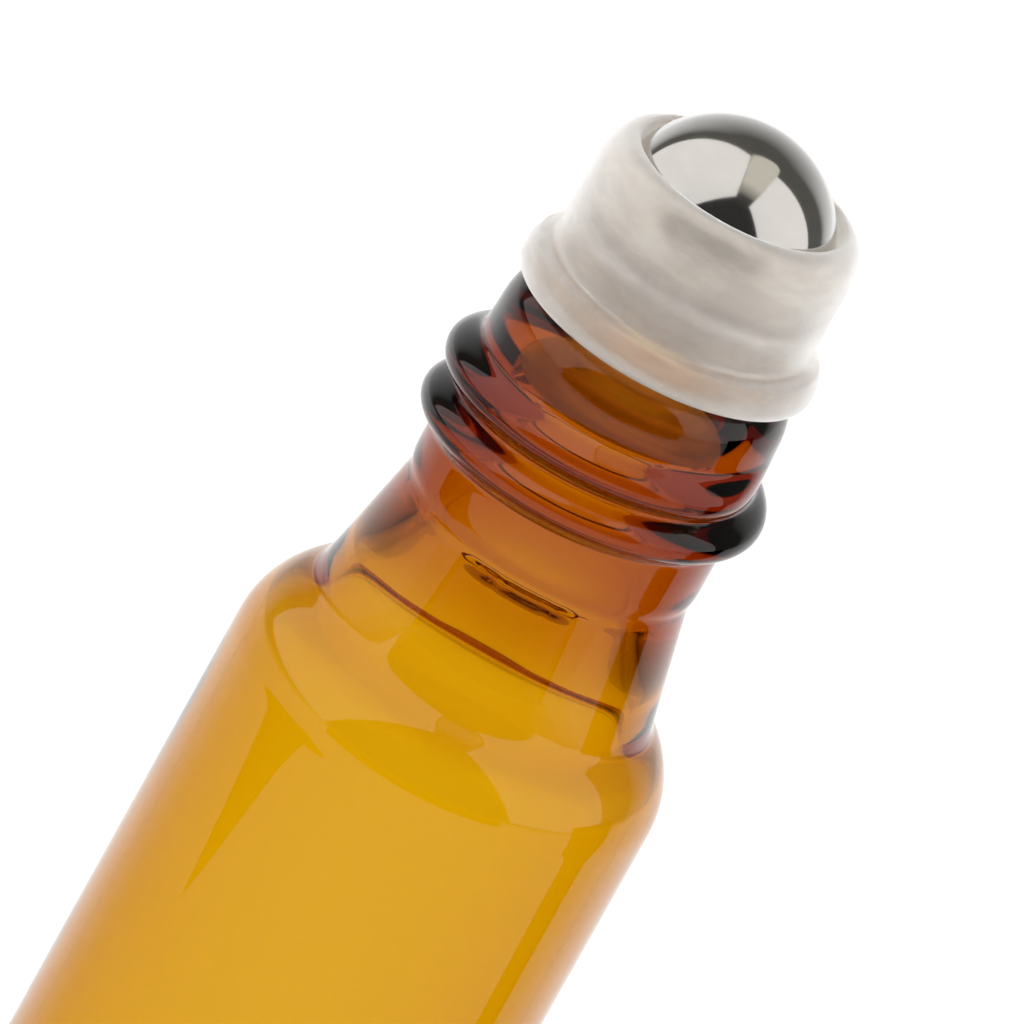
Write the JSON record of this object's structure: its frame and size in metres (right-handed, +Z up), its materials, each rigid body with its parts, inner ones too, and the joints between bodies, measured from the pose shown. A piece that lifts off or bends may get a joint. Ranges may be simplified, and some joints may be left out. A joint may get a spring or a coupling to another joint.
{
  "type": "roll-on bottle",
  "caption": "Small amber glass roll-on bottle with a threaded neck, a pressed-in plastic roller housing and a captive polished steel ball.",
  "frame": {"origin": "centre of the base, on the plane that the bottle stands on", "axes": "+Z up along the bottle's axis, towards the ball; +X towards the side where the thread begins"},
  "size_m": [0.0198, 0.0198, 0.0821],
  "materials": {
    "amber_glass": "smooth moulded amber glass",
    "natural_plastic": "frosted translucent natural plastic",
    "polished_steel": "mirror-polished stainless steel"
  },
  "bodies": {
    "bottle": {"glass_bottle": "amber_glass"},
    "housing": {"roller_housing": "natural_plastic"},
    "ball": {"steel_ball": "polished_steel"}
  },
  "joints": [
    {"name": "housing_pull", "type": "slide", "parent": "bottle", "child": "housing", "axis": [0, 0, 1], "range_m": [0, 0.009]},
    {"name": "ball_roll", "type": "hinge", "parent": "housing", "child": "ball", "pos_m": [0, 0, 0.07705], "axis": [1, 0, 0], "continuous": true}
  ]
}
